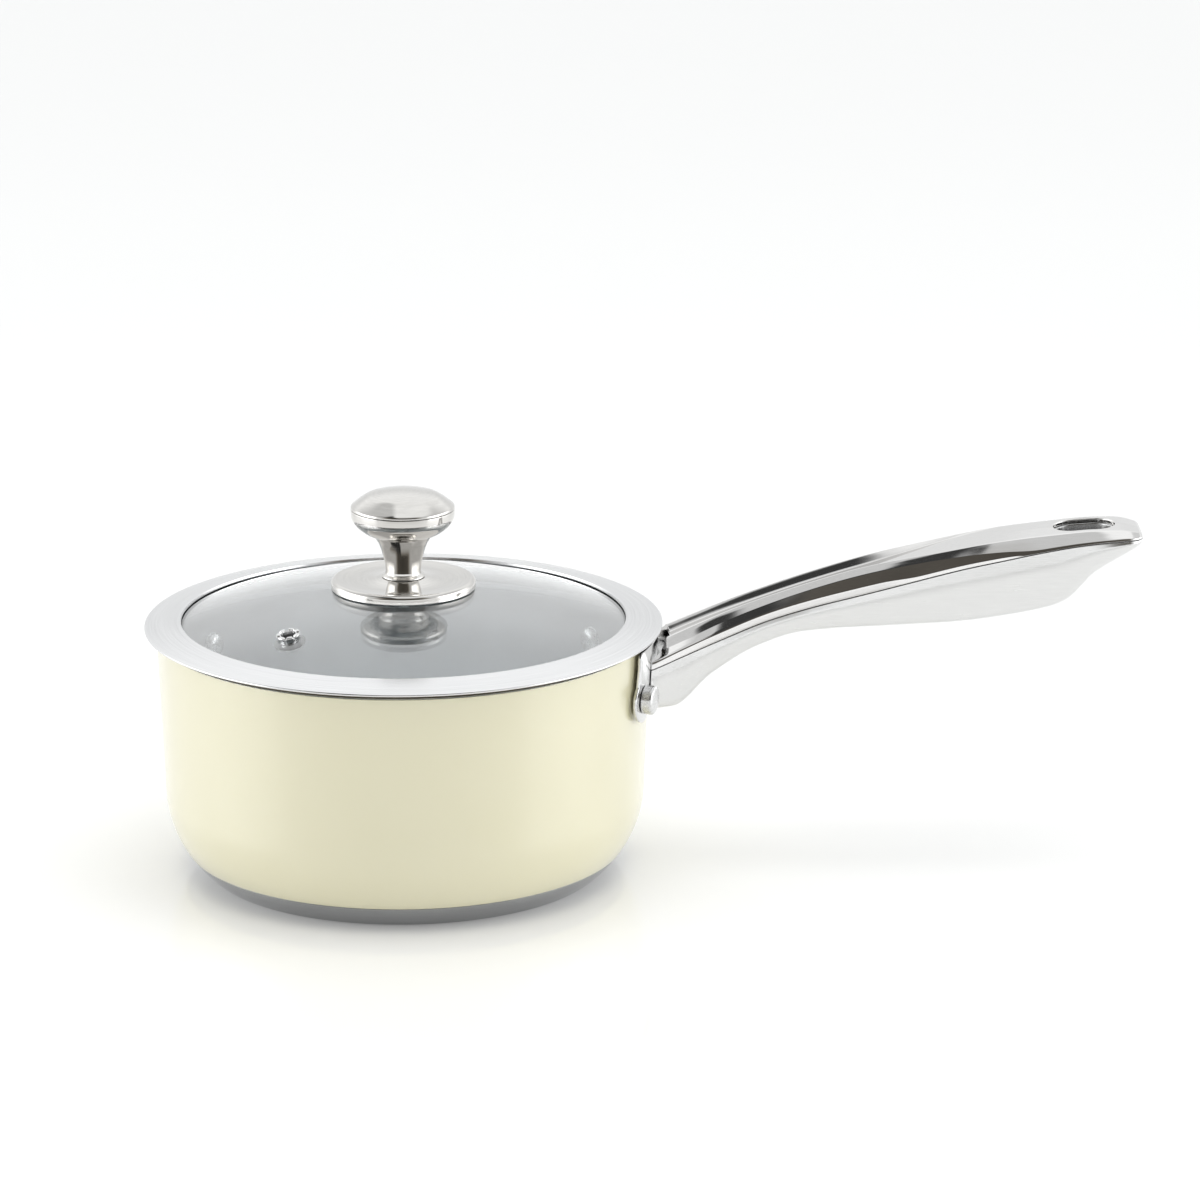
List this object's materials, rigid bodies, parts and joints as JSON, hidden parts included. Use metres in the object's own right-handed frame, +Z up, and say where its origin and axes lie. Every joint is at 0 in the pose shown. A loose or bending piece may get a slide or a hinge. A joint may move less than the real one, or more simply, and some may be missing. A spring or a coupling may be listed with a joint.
{
  "type": "saucepan with lid",
  "caption": "Straight-sided saucepan with a cream outside, steel inside, hollow steel handle with a hanging hole, and a domed glass lid with steel ring, vent and steel knob.",
  "frame": {"origin": "centre of the flat underside of the base, on the pan's axis", "axes": "+Z up along the pan's axis, +X from the pan's axis along the handle, +Y to the left of the handle"},
  "size_m": [0.3719, 0.1938, 0.145],
  "materials": {
    "pan_steel": "fine circular brushing, satin",
    "cream_enamel": "semi-gloss fired coat",
    "core_aluminium": "mill finish",
    "base_steel": "turned, bright",
    "polished_steel": "polished",
    "handle_steel": "polished, slightly satin on the sides",
    "knob_steel": "mirror polished",
    "rivet_steel": "satin",
    "clear_glass": "clear tempered",
    "silicone": "matt silicone"
  },
  "bodies": {
    "pot": {"pan_body": "pan_steel", "enamel_coat": "cream_enamel", "base_core": "core_aluminium", "base_cap": "base_steel", "handle_bracket": "polished_steel", "rivet_near": "rivet_steel", "rivet_far": "rivet_steel", "rivet_spacer_near": "rivet_steel", "rivet_spacer_far": "rivet_steel", "handle_top_shell": "handle_steel", "handle_bottom_shell": "handle_steel", "hanging_sleeve": "handle_steel", "rest_stud_left": "rivet_steel", "rest_stud_right": "rivet_steel"},
    "lid": {"lid_glass": "clear_glass", "lid_rim": "polished_steel", "lid_gasket": "silicone", "vent_eyelet": "polished_steel", "vent_washer": "silicone", "knob_base_disc": "knob_steel", "knob_stem": "knob_steel", "knob_cap": "knob_steel", "knob_insert": "rivet_steel", "knob_seal_top": "silicone", "knob_seal_bottom": "silicone", "knob_washer": "rivet_steel", "knob_lock_washer": "rivet_steel", "knob_screw": "rivet_steel"}
  },
  "joints": [
    {"name": "lid_lift", "type": "slide", "parent": "pot", "child": "lid", "axis": [0, 0, 1], "range_m": [0, 0.12]}
  ]
}
